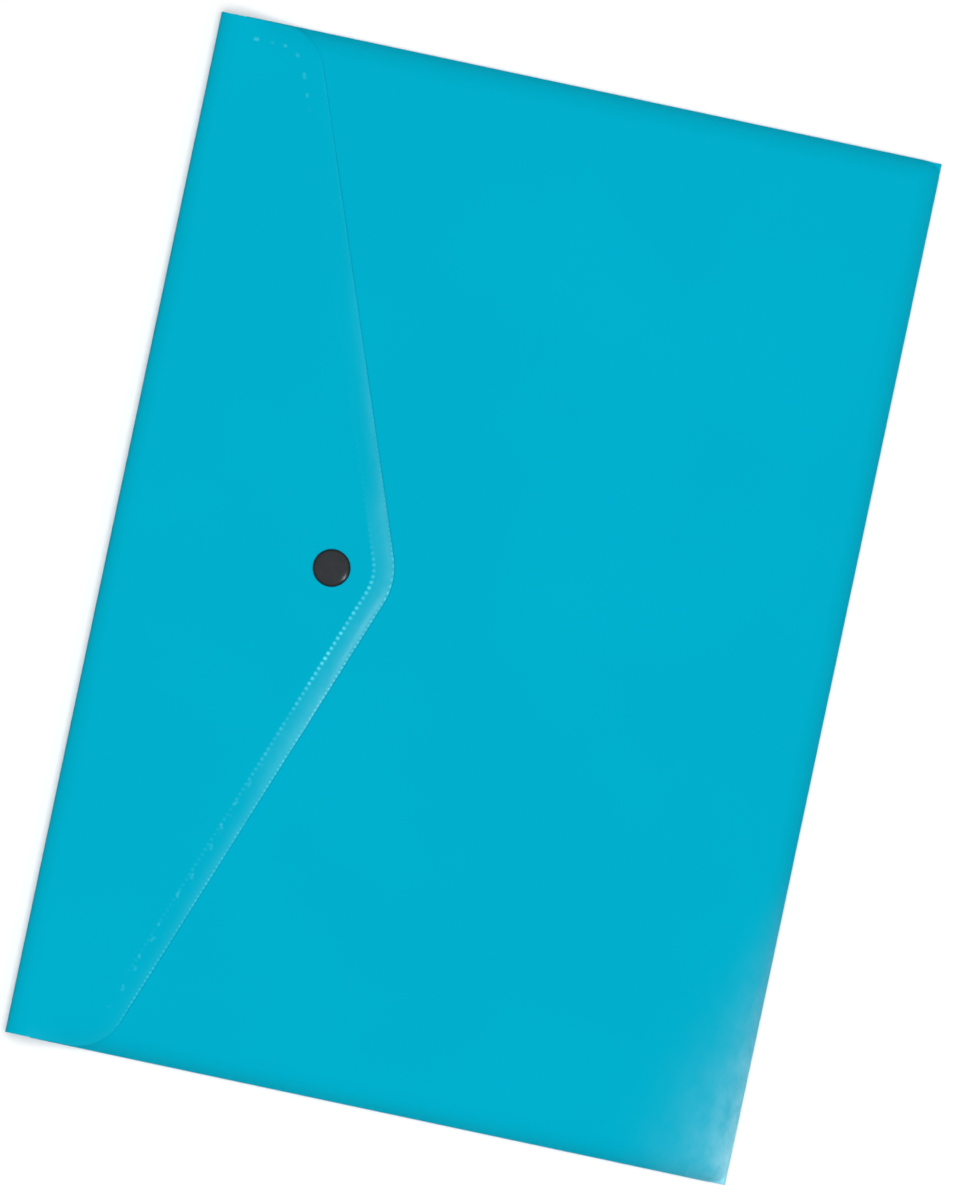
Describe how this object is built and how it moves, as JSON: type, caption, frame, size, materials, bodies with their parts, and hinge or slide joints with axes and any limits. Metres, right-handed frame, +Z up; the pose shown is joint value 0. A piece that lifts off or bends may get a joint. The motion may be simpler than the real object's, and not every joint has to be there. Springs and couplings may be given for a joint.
{
  "type": "document wallet",
  "caption": "Flat document wallet of stiff plastic sheet with welded sides, a folded closed edge and a pointed flap that folds over the mouth and closes with a metal press stud.",
  "frame": {"origin": "centre of the wallet's outline, on the flat back that it lies on", "axes": "+X along the long side, +Y towards the flap's crease, +Z up out of the flap"},
  "size_m": [0.335, 0.236, 0.0117],
  "materials": {
    "plastic_sheet": "satin",
    "dark_nickel": "satin",
    "spring_wire": "satin"
  },
  "bodies": {
    "wallet": {"back_panel": "plastic_sheet", "front_panel": "plastic_sheet", "bottom_fold": "plastic_sheet", "left_side_seam": "plastic_sheet", "right_side_seam": "plastic_sheet", "snap_stud": "dark_nickel", "snap_stud_eyelet": "dark_nickel"},
    "spine": {"spine_strip": "plastic_sheet"},
    "flap": {"flap": "plastic_sheet", "snap_cap": "dark_nickel", "snap_cap_rivet": "dark_nickel", "snap_socket": "dark_nickel", "snap_socket_spring": "spring_wire"}
  },
  "joints": [
    {"name": "spine_fold", "type": "hinge", "parent": "wallet", "child": "spine", "pos_m": [0, 0.1178, 0.0002], "axis": [-1, 0, 0], "range_deg": [0, 88]},
    {"name": "flap_fold", "type": "hinge", "parent": "spine", "child": "flap", "pos_m": [0, 0.1178, 0.0072], "axis": [-1, 0, 0], "range_deg": [0, 88], "deforming": ["snap_socket_spring"]}
  ]
}
